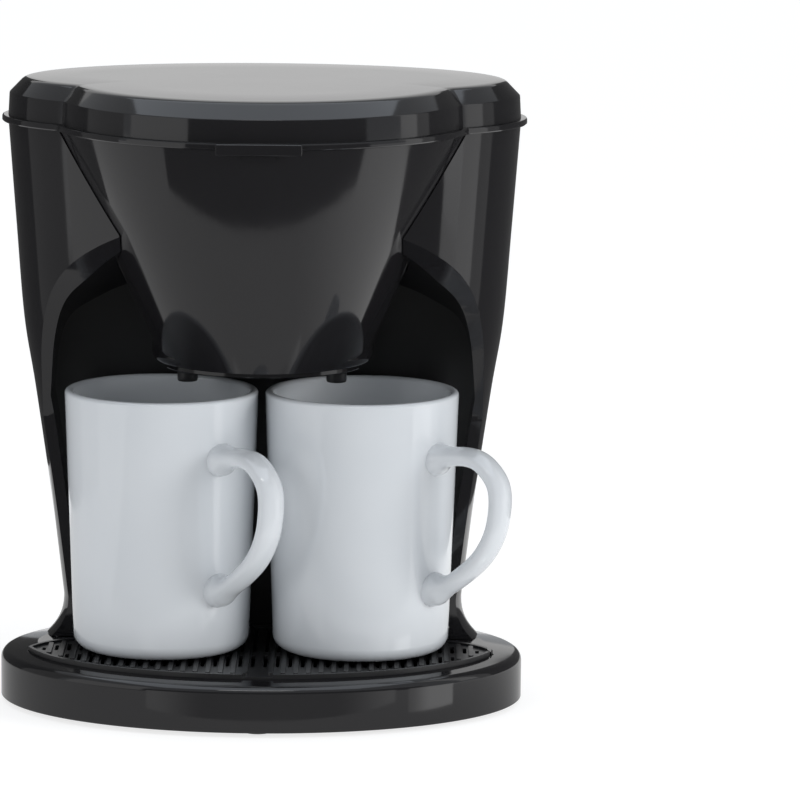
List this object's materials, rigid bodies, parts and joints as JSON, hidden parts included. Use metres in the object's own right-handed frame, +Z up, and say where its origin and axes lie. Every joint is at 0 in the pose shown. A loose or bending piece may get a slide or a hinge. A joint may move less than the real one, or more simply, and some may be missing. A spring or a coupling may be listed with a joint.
{
  "type": "drip coffee maker",
  "caption": "Compact drip coffee maker with a front brewing cone over paired mugs in an arched bay, an oval base with a slotted drip grille and a rear-hinged lid.",
  "frame": {"origin": "on the floor plane, under the middle of the machine's overall box, with the mugs in place and the lid shut", "axes": "+Z up, -Y is the front with the mug bay, +X is the right side seen from the front"},
  "size_m": [0.2206, 0.176, 0.2624],
  "materials": {
    "gloss_black": "high gloss black moulding",
    "satin_black": "satin black moulding",
    "inner_grey": "dark grey food-grade plastic",
    "white_glaze": "clear gloss glaze on white stoneware",
    "foot_rubber": "matt black rubber",
    "silicone": "milky silicone",
    "heater_aluminium": "as extruded",
    "steel": "plain zinc plated",
    "phenolic": "brown moulded phenolic"
  },
  "bodies": {
    "machine": {"base_housing": "gloss_black", "base_plate": "satin_black", "foot_1": "foot_rubber", "foot_2": "foot_rubber", "foot_3": "foot_rubber", "foot_4": "foot_rubber", "foot_5": "foot_rubber", "base_screw_1": "steel", "base_screw_2": "steel", "base_screw_3": "steel", "base_screw_4": "steel", "drip_tray": "satin_black", "drip_grille": "satin_black", "body_shell": "gloss_black", "filter_cone": "gloss_black", "nozzle_left": "satin_black", "nozzle_right": "satin_black", "filter_basket": "inner_grey", "hinge_bracket": "satin_black", "hinge_pin": "steel", "water_tank": "inner_grey", "heater_tube": "heater_aluminium", "check_valve": "silicone", "inlet_hose": "silicone", "riser_tube": "silicone", "riser_seal": "foot_rubber", "outlet_arm": "satin_black", "heater_clamp": "steel", "thermostat": "phenolic", "thermal_fuse": "steel", "switch_housing": "satin_black", "cord_gland": "foot_rubber", "terminal_block": "phenolic"},
    "lid": {"lid_shell": "gloss_black", "lid_liner": "satin_black"},
    "rocker": {"switch_rocker": "satin_black"},
    "left_mug": {"mug_left": "white_glaze"},
    "right_mug": {"mug_right": "white_glaze"}
  },
  "joints": [
    {"name": "lid_hinge", "type": "hinge", "parent": "machine", "child": "lid", "pos_m": [0, 0.084, 0.2462], "axis": [-1, 0, 0], "range_deg": [0, 95]},
    {"name": "power_switch", "type": "hinge", "parent": "machine", "child": "rocker", "pos_m": [0, 0.0694, 0.062], "axis": [1, 0, 0], "range_deg": [0, 18]},
    {"name": "mug_left_slide", "type": "slide", "parent": "machine", "child": "left_mug", "axis": [0, -1, 0], "range_m": [0, 0.13]},
    {"name": "mug_right_slide", "type": "slide", "parent": "machine", "child": "right_mug", "axis": [0.2079, -0.9782, 0], "range_m": [0, 0.133]}
  ]
}
